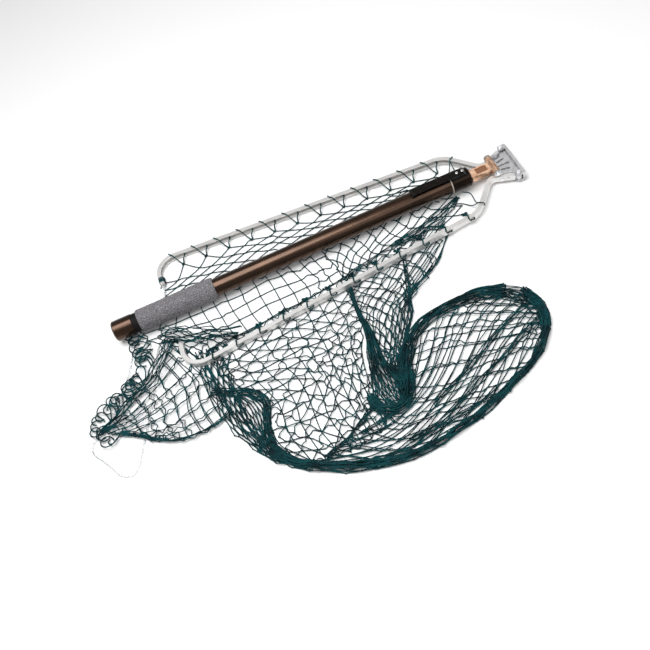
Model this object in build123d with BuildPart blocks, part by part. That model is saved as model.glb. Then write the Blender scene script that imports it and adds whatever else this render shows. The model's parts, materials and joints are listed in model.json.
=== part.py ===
"""Folding telescopic landing net, stored with its head folded back along the handle.

Millimetres.  The origin is the centre of the butt cap's end face, +X runs along the handle to
the head, +Z is up, and the left arm is on the +Y side.  The net lies on a floor at FLOOR_Z.
"""

import os
from math import atan, cos, pi, radians, sin, tan

from build123d import *

os.makedirs("parts", exist_ok=True)

# ---------------------------------------------------------------- driving dimensions
FLOOR_Z = -19.0
FIT = 0.02  # radial gap of pieces that are fixed in each other
RUNNING = 0.05  # radial gap of pieces that turn or slide in each other

# Handle, along X
cap_length = 28.0
cap_radius = 14.5
cap_floor = 3.0
cap_groove_depth = 0.5
seal_length = 9.0
seal_radius = 13.4
grip_end = 150.0
grip_radius = 16.0
grip_rim = 1.4
tube_radius = 12.7
tube_bore = 11.5
tube_start = 10.0
collar_start = 502.0
collar_end = 530.0
collar_radius = 13.6
tube_end = collar_end - 8.0

# Inner tube that slides in the handle
rod_radius = 8.0
rod_bore = 7.0
rod_tail = 105.0
rod_nose = 530.2
guide_length = 24.0
guide_pin_radius = 1.5
collar_bush_length = 36.0

# Belt clip, rolled about the handle towards the right side
clip_roll = 11.0
clip_width = 11.0
clip_thickness = 1.2
clip_gap = 5.8
clip_free_end = 444.0
clip_bend = 503.0
clip_foot_end = 524.5
clip_curl = 3.0
clip_rivet_x = (512.0, 520.0)
clip_rivet_radius = 1.05
clip_rivet_head = (2.0, 0.9)  # radius and height

# Knuckle at the nose of the inner tube, and the hinge that the head folds about
hinge_x = 565.0
hinge_pin_radius = 2.0
barrel_radius = 5.0
barrel_half = 14.6
barrel_rim = 0.6
hinge_head_radius = 3.2
hinge_head_height = 1.2
washer_radius = 4.4
stem_half_width = 7.8
stem_top = 2.0
stem_bottom = -7.0
plug_length = 18.0
panel_length = 16.0
knuckle_pin_radius = 1.25

# Head: yoke and arms, in a plane that leans a little down towards the arm tips
head_lean = 0.45
yoke_top = -2.5
yoke_floor_top = -6.5
yoke_floor_thickness = 3.0
yoke_bottom = -16.2
yoke_wall_depth = 6.0
yoke_wall_near = 7.0
yoke_wall_far = 20.0
yoke_wall_thickness = 2.2
slot_length = 16.0
slot_width = 2.4
keyhole_radius = 2.2
side_slot_offset = 9.0
side_slot_turn = 14.0
side_slot_length = 13.0
side_slot_width = 3.0
rim_inside = 29.5
rim_outside = 33.5
ear_inside = 15.6
ear_thickness = 2.6
pivot_u = 25.0
pivot_v = 28.0
pivot_pin_radius = 1.5
eye_radius = 4.0
fork_radius = 4.5
fork_width = 8.0
ear_foot_height = 4.6
pivot_head_radius = 3.4
pivot_head_height = 1.6

# Arm: an aluminium channel that opens inwards
arm_height = 8.0
arm_depth = 6.0
arm_wall = 1.2
arm_level = -9.5
waist = (-11.0, 12.5)
shoulder = (-50.0, 61.0)
tip_corner = (-488.0, 104.7)
tip_end = (-485.0, 57.0)
waist_bend = 12.0
shoulder_bend = 36.0
tip_bend = 27.0
plate_length = 29.0
plate_rivet_along = (14.0, 22.0)
plate_rivet_radius = 1.25
plate_rivet_head = (2.3, 1.3)  # radius and height
ferrule_length = 10.0
stop_knot_radius = 2.2

# Lashings that tie the net to the arms
lashing_count = 12
lashing_first = 9.0
lashing_pitch = 35.0
twine_radius = 0.65
knot_inset = 16.5
knot_forward = 5.0
knot_radius = 1.55
web_hole_radius = 1.5

# Front cord
cord_radius = 1.25
cord_level = FLOOR_Z + cord_radius + 0.1
cord_knot_radius = 2.7
cord_knot_place = (-2.1, -72.1, FLOOR_Z + 2.9)

head = Plane(
    origin=(hinge_x, 0, 0),
    x_dir=(cos(radians(head_lean)), 0, sin(radians(head_lean))),
    z_dir=(-sin(radians(head_lean)), 0, cos(radians(head_lean))),
)
# Sketches on this plane have Y and Z of the handle's cross-section as their two directions.
across = Plane(origin=(0, 0, 0), x_dir=(0, 1, 0), z_dir=(1, 0, 0))
# The same, with the clip's roll, and with the handle's length as the sketch's first direction.
clip_up = (0, -sin(radians(clip_roll)), cos(radians(clip_roll)))
clip_side = Plane(origin=(0, 0, 0), x_dir=(1, 0, 0), z_dir=Vector(1, 0, 0).cross(Vector(*clip_up)))
clip_top = Plane(origin=(0, 0, 0), x_dir=(1, 0, 0), z_dir=clip_up)


def save(builder, name):
    """Label a finished piece and write it as a node of its own."""
    builder.part.label = name
    export_step(builder.part, f"parts/{name}.step")


def ring(start, end, outer, inner):
    """A round tube on the handle's axis."""
    with BuildPart() as tube:
        with BuildSketch(across.offset(start)):
            Circle(outer)
            if inner:
                Circle(inner, mode=Mode.SUBTRACT)
        extrude(amount=end - start)
    return tube


# ---------------------------------------------------------------- handle
handle_tube = ring(tube_start, tube_end, tube_radius, tube_bore)
save(handle_tube, "handle_tube")

with BuildPart() as butt_cap:
    with BuildSketch(across):
        Circle(cap_radius)
    extrude(amount=cap_length)
    with BuildSketch(across.offset(cap_floor)):
        Circle(tube_radius + FIT)
    extrude(amount=cap_length, mode=Mode.SUBTRACT)
    chamfer(butt_cap.edges().filter_by(GeomType.CIRCLE).group_by(Axis.X)[0], 1.6)
    # Shallow turned groove near the open end
    with BuildSketch(across.offset(cap_length - 4)):
        Circle(cap_radius + 1)
        Circle(cap_radius - cap_groove_depth, mode=Mode.SUBTRACT)
    extrude(amount=1.2, mode=Mode.SUBTRACT)
save(butt_cap, "butt_cap")

with BuildPart() as butt_plug:
    with BuildSketch(across.offset(cap_floor + FIT)):
        Circle(tube_radius - 0.2)
    extrude(amount=tube_start - cap_floor - 2 * FIT)
    with BuildSketch(across.offset(tube_start - FIT)):
        Circle(tube_bore - FIT)
    extrude(amount=18)
    with BuildSketch(across.offset(tube_start + 4)):
        Circle(tube_bore - 2.5)
    extrude(amount=30, mode=Mode.SUBTRACT)
save(butt_plug, "butt_plug")

seal_end = cap_length + seal_length
butt_seal_ring = ring(cap_length, seal_end, seal_radius, tube_radius + FIT)
save(butt_seal_ring, "butt_seal_ring")

with BuildPart() as grip_sleeve:
    with BuildSketch(across.offset(seal_end)):
        Circle(grip_radius)
        Circle(tube_radius + FIT, mode=Mode.SUBTRACT)
    extrude(amount=grip_end - seal_end)
    outer_rims = grip_sleeve.edges().filter_by(GeomType.CIRCLE).sort_by(SortBy.RADIUS)[-2:]
    fillet(outer_rims, grip_rim)
save(grip_sleeve, "grip_sleeve")

# ---------------------------------------------------------------- front collar and its bush
with BuildPart() as front_collar:
    with BuildSketch(across.offset(collar_start)):
        Circle(collar_radius)
    extrude(amount=collar_end - collar_start)
    with BuildSketch(across.offset(collar_start)):
        Circle(tube_radius + FIT)
    extrude(amount=tube_end - collar_start + 0.1, mode=Mode.SUBTRACT)
    with BuildSketch(across.offset(collar_start)):
        Circle(rod_radius + 0.5)
    extrude(amount=collar_end - collar_start, mode=Mode.SUBTRACT)
    nose_rim = front_collar.edges().filter_by(GeomType.CIRCLE).group_by(Axis.X)[-1]
    chamfer(nose_rim.sort_by(SortBy.RADIUS)[-1], 1.5)
    # Two blind holes for the clip's rivets
    with Locations(clip_top.offset(collar_radius - 0.85).location):
        with Locations(*[(x, 0) for x in clip_rivet_x]):
            Cylinder(clip_rivet_radius + 0.15, 3, mode=Mode.SUBTRACT)
save(front_collar, "front_collar")

wiper_ring = ring(collar_start - 1.4, collar_start - 0.05, collar_radius - 0.1, tube_radius + FIT)
save(wiper_ring, "wiper_ring")

bush_start = tube_end - collar_bush_length
collar_bush = ring(bush_start, tube_end - 0.1, tube_bore - FIT, rod_radius + RUNNING)
save(collar_bush, "collar_bush")

# ---------------------------------------------------------------- belt clip
leaf_low = tube_radius + clip_gap
leaf_high = leaf_low + clip_thickness
with BuildPart() as clip_foot:
    # Side outline: a block on the collar that steps down to a sloped nose
    with BuildSketch(clip_side.offset(-clip_width / 2)):
        with BuildLine():
            Polyline(
                (clip_bend + 0.4, leaf_high),
                (clip_bend + 0.4, collar_radius - 3),
                (clip_foot_end, collar_radius - 3),
                (clip_foot_end, collar_radius + 1.4),
                (clip_foot_end - 3.4, leaf_high - 1.2),
                (clip_bend + 5, leaf_high),
                close=True,
            )
        make_face()
    extrude(amount=clip_width)
    with BuildSketch(across.offset(clip_bend)):
        Circle(collar_radius + FIT)
    extrude(amount=30, mode=Mode.SUBTRACT)
    with Locations(clip_top.offset(leaf_low).location):
        with Locations(*[(x, 0) for x in clip_rivet_x]):
            Cylinder(clip_rivet_radius + 0.05, 20, mode=Mode.SUBTRACT)
save(clip_foot, "clip_foot")

rivet_foot = tube_radius + 0.1
with BuildPart() as clip_rivets:
    with Locations(clip_top.offset(rivet_foot).location):
        with Locations(*[(x, 0) for x in clip_rivet_x]):
            Cylinder(
                clip_rivet_radius,
                leaf_high - rivet_foot + 0.4,
                align=(Align.CENTER, Align.CENTER, Align.MIN),
            )
    with Locations(clip_top.offset(leaf_high + 0.02).location):
        with Locations(*[(x, 0) for x in clip_rivet_x]):
            Cylinder(*clip_rivet_head, align=(Align.CENTER, Align.CENTER, Align.MIN))
    fillet(clip_rivets.edges().filter_by(GeomType.CIRCLE).group_by(Axis.Z)[-1], 0.6)
save(clip_rivets, "clip_rivets")

curl_x = clip_free_end + clip_curl
curl_low = leaf_high - 2 * clip_curl
lip_x = curl_x + 3.0
with BuildPart() as clip_leaf:
    # Strip along the handle, with its free end curled down and back
    with BuildSketch(clip_side.offset(-clip_width / 2)):
        with BuildLine():
            Line((clip_bend, leaf_high), (curl_x, leaf_high))
            ThreePointArc(
                (curl_x, leaf_high),
                (clip_free_end, leaf_high - clip_curl),
                (curl_x, curl_low),
            )
            Line((curl_x, curl_low), (lip_x, curl_low))
            Line((lip_x, curl_low), (lip_x, curl_low + clip_thickness))
            Line((lip_x, curl_low + clip_thickness), (curl_x, curl_low + clip_thickness))
            ThreePointArc(
                (curl_x, curl_low + clip_thickness),
                (clip_free_end + clip_thickness, leaf_high - clip_curl),
                (curl_x, leaf_low),
            )
            Line((curl_x, leaf_low), (clip_bend, leaf_low))
            Line((clip_bend, leaf_low), (clip_bend, leaf_high))
        make_face()
    extrude(amount=clip_width)
save(clip_leaf, "clip_leaf")

# ---------------------------------------------------------------- inner tube and its guide
bush_pin_x = rod_tail + guide_length / 2
knuckle_pin_x = (rod_nose - 12, rod_nose - 5)
with BuildPart() as inner_tube:
    with BuildSketch(across.offset(rod_tail)):
        Circle(rod_radius)
        Circle(rod_bore, mode=Mode.SUBTRACT)
    extrude(amount=rod_nose - rod_tail)
    with Locations((bush_pin_x, 0, 0)):
        Cylinder(guide_pin_radius + FIT, 40, rotation=(90, 0, 0), mode=Mode.SUBTRACT)
    with Locations(*[(x, 0, 0) for x in knuckle_pin_x]):
        Cylinder(knuckle_pin_radius + FIT, 40, rotation=(90, 0, 0), mode=Mode.SUBTRACT)
save(inner_tube, "inner_tube")

with BuildPart() as guide_bush:
    with BuildSketch(across.offset(rod_tail)):
        Circle(tube_bore - RUNNING)
        Circle(rod_radius + FIT, mode=Mode.SUBTRACT)
    extrude(amount=guide_length)
    with Locations((bush_pin_x, 0, 0)):
        Cylinder(guide_pin_radius + FIT, 40, rotation=(90, 0, 0), mode=Mode.SUBTRACT)
save(guide_bush, "guide_bush")

with BuildPart() as bush_rivet:
    with Locations((bush_pin_x, 0, 0)):
        Cylinder(guide_pin_radius, 2 * tube_bore - 2, rotation=(90, 0, 0))
save(bush_rivet, "bush_rivet")

# ---------------------------------------------------------------- knuckle
with BuildPart() as knuckle:
    # Plug in the inner tube
    with BuildSketch(across.offset(rod_nose - plug_length)):
        Circle(rod_bore - FIT)
    extrude(amount=plug_length + 0.6)
    # Stem with a recessed panel in its top
    with BuildSketch(Plane.XY.offset(stem_bottom)) as stem_outline:
        with Locations(((rod_nose + hinge_x) / 2 + 0.2, 0)):
            Rectangle(hinge_x - rod_nose - 0.4, 2 * stem_half_width)
        chamfer(stem_outline.vertices().group_by(Axis.X)[0], 1.6)
    extrude(amount=stem_top - stem_bottom)
    with BuildSketch(Plane.XY.offset(stem_top)):
        with Locations((hinge_x - panel_length - 1.0, 0)):
            RectangleRounded(panel_length, 2 * stem_half_width - 5, 1.5)
    extrude(amount=-1.0, mode=Mode.SUBTRACT)
    # Cross barrel
    with Locations((hinge_x, 0, 0)):
        Cylinder(barrel_radius, 2 * barrel_half, rotation=(90, 0, 0))
    fillet(knuckle.edges().filter_by(GeomType.CIRCLE).group_by(Axis.Y)[0], barrel_rim)
    fillet(knuckle.edges().filter_by(GeomType.CIRCLE).group_by(Axis.Y)[-1], barrel_rim)
    with Locations((hinge_x, 0, 0)):
        Cylinder(hinge_pin_radius + RUNNING, 60, rotation=(90, 0, 0), mode=Mode.SUBTRACT)
    with Locations(*[(x, 0, 0) for x in knuckle_pin_x]):
        Cylinder(knuckle_pin_radius + FIT, 40, rotation=(90, 0, 0), mode=Mode.SUBTRACT)
save(knuckle, "knuckle")

with BuildPart() as knuckle_pins:
    with Locations(*[(x, 0, 0) for x in knuckle_pin_x]):
        Cylinder(knuckle_pin_radius, 2 * rod_radius - 0.4, rotation=(90, 0, 0))
save(knuckle_pins, "knuckle_pins")

# ---------------------------------------------------------------- yoke
flare = (pivot_v - waist[1]) / (pivot_u - waist[0])
wall_clear = (arm_depth / 2 + 0.4) / cos(atan(flare))


def wall_line(u):
    """Outer face of the yoke's side wall, which runs just inside the arm's root."""
    return waist[1] + (u - waist[0]) * flare - wall_clear


with BuildPart() as spreader_yoke:
    # Floor cut into tongues by a keyhole slot in the middle and a slot on each side of it
    with BuildSketch(head.offset(yoke_floor_top - yoke_floor_thickness)):
        with BuildLine():
            Polyline(
                (yoke_wall_near, -wall_line(yoke_wall_near)),
                (yoke_wall_far, -wall_line(yoke_wall_far)),
                (rim_inside + 1, -wall_line(yoke_wall_far)),
                (rim_inside + 1, wall_line(yoke_wall_far)),
                (yoke_wall_far, wall_line(yoke_wall_far)),
                (yoke_wall_near, wall_line(yoke_wall_near)),
                close=True,
            )
        make_face()
        with Locations((yoke_wall_near + slot_length / 2 - 1.0, 0)):
            Rectangle(slot_length, slot_width, mode=Mode.SUBTRACT)
        with Locations((yoke_wall_near + slot_length - 1.0, 0)):
            Circle(keyhole_radius, mode=Mode.SUBTRACT)
        for side in (1, -1):
            slot_middle = (yoke_wall_near + side_slot_length / 2 + 1.5, side * side_slot_offset, 0)
            with Locations(Location(slot_middle, (0, 0, side * side_slot_turn))):
                SlotOverall(side_slot_length, side_slot_width, mode=Mode.SUBTRACT)
    extrude(amount=yoke_floor_thickness)
    # Flared side walls
    with BuildSketch(head.offset(yoke_floor_top - yoke_wall_depth)):
        for side in (1, -1):
            with BuildLine():
                Polyline(
                    (yoke_wall_near, side * wall_line(yoke_wall_near)),
                    (yoke_wall_far, side * wall_line(yoke_wall_far)),
                    (yoke_wall_far, side * (wall_line(yoke_wall_far) - yoke_wall_thickness)),
                    (yoke_wall_near, side * (wall_line(yoke_wall_near) - yoke_wall_thickness)),
                    close=True,
                )
            make_face()
    extrude(amount=yoke_top - yoke_floor_top + yoke_wall_depth)
    # Rim along the far side
    with BuildSketch(head.offset(yoke_bottom)):
        with Locations(((rim_inside + rim_outside) / 2, 0)):
            RectangleRounded(rim_outside - rim_inside, 2 * (pivot_v + 4), 1.9)
    extrude(amount=yoke_top - yoke_bottom)
    # A fork at each corner, above and below the eye of the arm
    arm_low = arm_level - arm_height / 2 - 0.4
    arm_high = arm_level + arm_height / 2 + 0.4
    for low, high in ((yoke_bottom, arm_low), (arm_high, yoke_top)):
        with BuildSketch(head.offset(low)):
            for side in (1, -1):
                with Locations((pivot_u, side * pivot_v)):
                    Circle(fork_radius)
                with Locations(((pivot_u + rim_inside) / 2 + 0.5, side * pivot_v)):
                    Rectangle(rim_inside - pivot_u + 1, fork_width)
        extrude(amount=high - low)
    # Ears that carry the hinge pin, outside the barrel and above the arms
    for side in (1, -1):
        ear_face = Plane(head.origin, x_dir=head.x_dir, z_dir=(0, side, 0))
        with BuildSketch(ear_face.offset(ear_inside)):
            Circle(barrel_radius)
            with Locations((yoke_wall_near / 2 + 3.5, -side * yoke_top)):
                Rectangle(yoke_wall_near + 7, ear_foot_height)
        extrude(amount=ear_thickness)
    with Locations((hinge_x, 0, 0)):
        Cylinder(hinge_pin_radius + FIT, 60, rotation=(90, 0, 0), mode=Mode.SUBTRACT)
    with Locations(head.location):
        with Locations((pivot_u, pivot_v), (pivot_u, -pivot_v)):
            Cylinder(pivot_pin_radius + FIT, 60, mode=Mode.SUBTRACT)
save(spreader_yoke, "spreader_yoke")

with BuildPart() as hinge_pin:
    with Locations((hinge_x, 0, 0)):
        Cylinder(hinge_pin_radius, 2 * (ear_inside + ear_thickness + 0.1), rotation=(90, 0, 0))
    head_offset = ear_inside + ear_thickness + 0.1 + hinge_head_height / 2
    with Locations((hinge_x, head_offset, 0), (hinge_x, -head_offset, 0)):
        Cylinder(hinge_head_radius, hinge_head_height, rotation=(90, 0, 0))
    fillet(hinge_pin.edges().filter_by(GeomType.CIRCLE).group_by(Axis.Y)[0], 0.5)
    fillet(hinge_pin.edges().filter_by(GeomType.CIRCLE).group_by(Axis.Y)[-1], 0.5)
save(hinge_pin, "hinge_pin")

with BuildPart() as hinge_washers:
    washer_middle = (barrel_half + 0.3 + ear_inside - 0.05) / 2
    with Locations((hinge_x, washer_middle, 0), (hinge_x, -washer_middle, 0)):
        Cylinder(washer_radius, ear_inside - barrel_half - 0.35, rotation=(90, 0, 0))
        Cylinder(hinge_pin_radius + FIT, 10, rotation=(90, 0, 0), mode=Mode.SUBTRACT)
save(hinge_washers, "hinge_washers")

# ---------------------------------------------------------------- left arm and what is on it
left = {}
arm_plane = head.offset(arm_level)
root_direction = Vector(waist[0] - pivot_u, waist[1] - pivot_v).normalized()
root_outward = Vector(-root_direction.Y, root_direction.X) * -1
run_direction = Vector(tip_corner[0] - shoulder[0], tip_corner[1] - shoulder[1]).normalized()
run_outward = Vector(-run_direction.Y, run_direction.X) * -1
root_start = Vector(pivot_u, pivot_v) + root_direction * (eye_radius + 1.2)


def root_station(along, outward=0.0):
    """Plane that faces out of the arm's root, at a distance from the pivot along it."""
    place = Vector(pivot_u, pivot_v) + root_direction * along + root_outward * outward
    facing = head.from_local_coords(root_outward) - head.origin
    return Plane(arm_plane.from_local_coords(place), z_dir=facing)


with BuildPart() as arm:
    with BuildLine(arm_plane) as arm_path:
        FilletPolyline(
            (root_start.X, root_start.Y),
            waist,
            shoulder,
            tip_corner,
            tip_end,
            radius=[waist_bend, shoulder_bend, tip_bend],
        )
    section_plane = Plane(
        arm_plane.from_local_coords(root_start),
        x_dir=head.from_local_coords(root_outward) - head.origin,
        z_dir=head.from_local_coords(root_direction) - head.origin,
    )
    with BuildSketch(section_plane):
        Rectangle(arm_depth, arm_height)
        with Locations((-arm_wall, 0)):
            Rectangle(arm_depth, arm_height - 2 * arm_wall, mode=Mode.SUBTRACT)
    sweep(path=arm_path.wires()[0])
    # Holes in the web, one for each lashing
    for i in range(lashing_count):
        along = lashing_first + i * lashing_pitch
        hole = Vector(*shoulder) + run_direction * along
        hole_plane = Plane(
            arm_plane.from_local_coords(hole + run_outward * 1.0),
            z_dir=head.from_local_coords(run_outward) - head.origin,
        )
        with Locations(hole_plane.location):
            Cylinder(
                web_hole_radius,
                8,
                align=(Align.CENTER, Align.CENTER, Align.MIN),
                mode=Mode.SUBTRACT,
            )
    # Two rivet holes at the root
    for along in plate_rivet_along:
        with Locations(root_station(along).location):
            Cylinder(plate_rivet_radius + 0.05, 20, mode=Mode.SUBTRACT)
left["arm"] = arm
print("arm length along its centre line", round(arm_path.wires()[0].length, 1))

inner_height = arm_height - 2 * arm_wall
plate_offset = arm_depth / 2 - arm_wall - 0.05 - 1.0
with BuildPart() as hinge_plate:
    # Strap inside the channel, riveted to its web, with the eye that turns on the pivot pin
    with BuildSketch(arm_plane.offset(-inner_height / 2 + 0.1)):
        with BuildLine():
            near = Vector(pivot_u, pivot_v) + root_outward * plate_offset
            far = near + root_direction * plate_length
            Polyline(
                tuple(near - root_outward)[:2],
                tuple(far - root_outward)[:2],
                tuple(far + root_outward)[:2],
                tuple(near + root_outward)[:2],
                close=True,
            )
        make_face()
    extrude(amount=inner_height - 0.2)
    with BuildSketch(arm_plane.offset(-arm_height / 2 + 0.1)):
        with Locations((pivot_u, pivot_v)):
            Circle(eye_radius)
    extrude(amount=arm_height - 0.2)
    with Locations(head.location):
        with Locations((pivot_u, pivot_v)):
            Cylinder(pivot_pin_radius + RUNNING, 60, mode=Mode.SUBTRACT)
    for along in plate_rivet_along:
        with Locations(root_station(along).location):
            Cylinder(plate_rivet_radius + 0.05, 20, mode=Mode.SUBTRACT)
left["hinge_plate"] = hinge_plate

with BuildPart() as plate_rivets:
    shank = arm_depth / 2 - plate_offset + 1.6 + 0.1
    for along in plate_rivet_along:
        rivet_plane = root_station(along, plate_offset - 1.6)
        with Locations(rivet_plane.location):
            Cylinder(plate_rivet_radius, shank, align=(Align.CENTER, Align.CENTER, Align.MIN))
        with Locations(rivet_plane.offset(shank - 0.02).location):
            Cylinder(*plate_rivet_head, align=(Align.CENTER, Align.CENTER, Align.MIN))
left["plate_rivets"] = plate_rivets

with BuildPart() as pivot_pin:
    pin_low = yoke_bottom - 0.6
    with Locations(head.offset(pin_low).location):
        with Locations((pivot_u, pivot_v)):
            Cylinder(
                pivot_pin_radius,
                yoke_top - pin_low + 0.1,
                align=(Align.CENTER, Align.CENTER, Align.MIN),
            )
    with Locations(head.offset(yoke_top + 0.05).location):
        with Locations((pivot_u, pivot_v)):
            Cylinder(
                pivot_head_radius,
                pivot_head_height,
                align=(Align.CENTER, Align.CENTER, Align.MIN),
            )
    fillet(pivot_pin.edges().filter_by(GeomType.CIRCLE).group_by(Axis.Z)[-1], 1.0)
left["pivot_pin"] = pivot_pin

tip_direction = Vector(tip_end[0] - tip_corner[0], tip_end[1] - tip_corner[1]).normalized()
tip_outward = Vector(-tip_direction.Y, tip_direction.X) * -1
mouth_flat = Vector(*tip_end) - tip_outward * (arm_wall / 2) + tip_direction * 0.5
cord_exit = arm_plane.from_local_coords(mouth_flat)
ferrule_plane = Plane(
    cord_exit,
    x_dir=head.from_local_coords(tip_outward) - head.origin,
    z_dir=head.from_local_coords(tip_direction) - head.origin,
)
with BuildPart() as tip_ferrule:
    # Plug in the open end of the channel, bored for the front cord
    with BuildSketch(ferrule_plane):
        Rectangle(arm_depth - arm_wall - 0.3, inner_height - 0.1)
    extrude(amount=-ferrule_length)
    with BuildSketch(ferrule_plane):
        Circle(cord_radius + 0.15)
    extrude(amount=-ferrule_length, mode=Mode.SUBTRACT)
left["tip_ferrule"] = tip_ferrule

with BuildPart() as stop_knot:
    # Knot at the cord's end, behind the ferrule
    with Locations(ferrule_plane.offset(-ferrule_length - stop_knot_radius - 0.2).location):
        Sphere(stop_knot_radius)
left["stop_knot"] = stop_knot


def lashing_points(index):
    """Corners of one lashing, from its knot over the arm, through the web hole and back."""
    along = lashing_first + index * lashing_pitch
    middle = Vector(*shoulder) + run_direction * along
    half_depth = arm_depth / 2
    half_height = arm_height / 2
    gap = twine_radius + 0.35
    knot_drop = arm_plane.from_local_coords(middle).Z - (FLOOR_Z + 1.75)
    corners = (
        (knot_forward + 0.8, -knot_inset, -knot_drop),
        (16.0, -half_depth - gap - 0.3, half_height + gap),
        (22.0, half_depth + gap, half_height + gap),
        (19.5, half_depth + gap, 0.8),
        (0.0, half_depth + gap, 0.0),
        (0.0, -half_depth - gap - 0.6, 0.0),
        (2.0, -half_depth - 3.5, -half_height * 0.6),
        (knot_forward - 0.8, -knot_inset, -knot_drop),
    )
    points = []
    for forward, outward, up in corners:
        flat = middle + run_direction * forward + run_outward * outward
        points.append(arm_plane.from_local_coords(Vector(flat.X, flat.Y, up)))
    return points


with BuildPart() as lashings:
    for index in range(lashing_count):
        corners = lashing_points(index)
        with BuildLine() as strand:
            FilletPolyline(*corners, radius=1.0)
        strand_wire = strand.wires()[0]
        with BuildSketch(Plane(strand_wire @ 0, z_dir=strand_wire % 0)):
            Circle(twine_radius)
        sweep(path=strand_wire)
        with Locations((corners[0] + corners[-1]) / 2):
            Sphere(knot_radius)
left["lashings"] = lashings

# The right arm and what is on it mirror the left.
for name, piece in left.items():
    save(piece, f"left_{name}")
    with BuildPart() as other:
        add(piece.part)
        mirror(about=Plane.XZ, mode=Mode.REPLACE)
    save(other, f"right_{name}")

# ---------------------------------------------------------------- front cord
left_cord_route = (
    (cord_exit.X, cord_exit.Y, cord_exit.Z),
    (78, 39, -15.2),
    (66, 19, cord_level),
    (46, 2, cord_level),
    (23, -17, cord_level),
    (8, -42, cord_level),
    (-0.5, -68.3, cord_level),
)
right_cord_route = (
    (cord_exit.X, -cord_exit.Y, cord_exit.Z),
    (78, -40, -15.4),
    (65, -31, cord_level),
    (51, -37, cord_level),
    (43, -54, cord_level),
    (38, -77, cord_level),
    (30, -102, cord_level),
    (21, -128, cord_level),
    (8, -156, cord_level),
    (-4, -184, cord_level),
    (-13, -206, cord_level),
    (-25, -218, cord_level),
    (-39, -213, cord_level),
    (-48, -195, cord_level),
    (-59, -177, cord_level),
    (-70, -162, cord_level),
    (-66, -147, cord_level),
    (-50, -133, cord_level),
    (-31, -116, cord_level),
    (-15, -98, cord_level),
    (-3.8, -75.8, cord_level),
)


def corner_radii(route):
    """The largest arc that each corner's two runs allow."""
    points = [Vector(*p) for p in route]
    radii = []
    for before, here, after in zip(points, points[1:], points[2:]):
        half_turn = radians((here - before).get_angle(after - here)) / 2
        shorter = min((here - before).length, (after - here).length)
        radii.append(0.45 * shorter / tan(half_turn))
    return radii


for name, route in (("left_cord", left_cord_route), ("right_cord", right_cord_route)):
    radii = corner_radii(route)
    with BuildPart() as cord:
        with BuildLine() as cord_line:
            FilletPolyline(*route, radius=radii)
        cord_wire = cord_line.wires()[0]
        with BuildSketch(Plane(cord_wire @ 0, z_dir=cord_wire % 0)):
            Circle(cord_radius)
        sweep(path=cord_wire)
    section = pi * cord_radius**2
    swept = section * cord_wire.length
    print(name, "length", round(cord_wire.length, 1))
    print(name, "volume", round(cord.part.volume, 1), "section times length", round(swept, 1))
    save(cord, name)

with BuildPart() as cord_knot:
    with Locations(cord_knot_place):
        Sphere(cord_knot_radius)
save(cord_knot, "cord_knot")

# ---------------------------------------------------------------- net, as plain solids
net_low = FLOOR_Z + 0.3


def arm_centre(x):
    """Distance of the arm's straight run from the handle's axis, at a place along the handle."""
    slope = (tip_corner[1] - shoulder[1]) / (shoulder[0] - tip_corner[0])
    return shoulder[1] + (hinge_x + shoulder[0] - x) * slope


with BuildPart() as net_mouth:
    mouth_inset = knot_inset + 3.0
    with BuildSketch(Plane.XY.offset(net_low)):
        with BuildLine():
            Polyline(
                (118, arm_centre(118) - mouth_inset),
                (465, arm_centre(465) - mouth_inset),
                (500, 24),
                (500, -24),
                (465, mouth_inset - arm_centre(465)),
                (118, mouth_inset - arm_centre(118)),
                close=True,
            )
        make_face()
    extrude(amount=1.6)
save(net_mouth, "net_mouth")


def net_solid(outline, low, high, softness):
    """A low closed cushion of netting with the given outline."""
    with BuildPart() as solid:
        with BuildSketch(Plane.XY.offset(low)) as shape:
            with BuildLine():
                Polyline(*outline, close=True)
            make_face()
            fillet(shape.vertices(), softness)
        extrude(amount=high - low)
        top = solid.faces().sort_by(Axis.Z)[-1]
        fillet(top.edges(), 1.5)
    return solid


side_gap = arm_depth / 2 + 3.0
bag_outline = (
    (142, -arm_centre(142) - side_gap),
    (452, -arm_centre(452) - side_gap),
    (404, -102),
    (368, -172),
    (318, -262),
    (302, -350),
    (212, -324),
    (157, -268),
)
save(net_solid(bag_outline, net_low, FLOOR_Z + 5.0, 6), "net_bag")

lobe_outline = (
    (305, -351),
    (321, -264),
    (357, -210),
    (420, -176),
    (487, -179),
    (517, -212),
    (512, -263),
    (471, -311),
    (392, -345),
)
save(net_solid(lobe_outline, net_low, FLOOR_Z + 8.0, 8), "net_lobe")

flap_outline = (
    (-52, -150),
    (-8, -112),
    (60, -104),
    (128, -112),
    (150, -262),
    (110, -234),
    (45, -235),
    (-22, -212),
)
save(net_solid(flap_outline, cord_level + cord_radius + 0.4, FLOOR_Z + 8.0, 5), "net_flap")
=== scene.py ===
"""Looks of the folding landing net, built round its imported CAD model.

Metres, in the part's own frame: +X runs along the handle to the head, +Z is up and the left arm
is on the +Y side.  Routes and control grids are written in millimetres and scaled by MM.
"""

import json
from math import cos, pi, radians, sin

import bmesh
import bpy
import numpy as np
from mathutils import Matrix, Vector, noise


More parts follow.
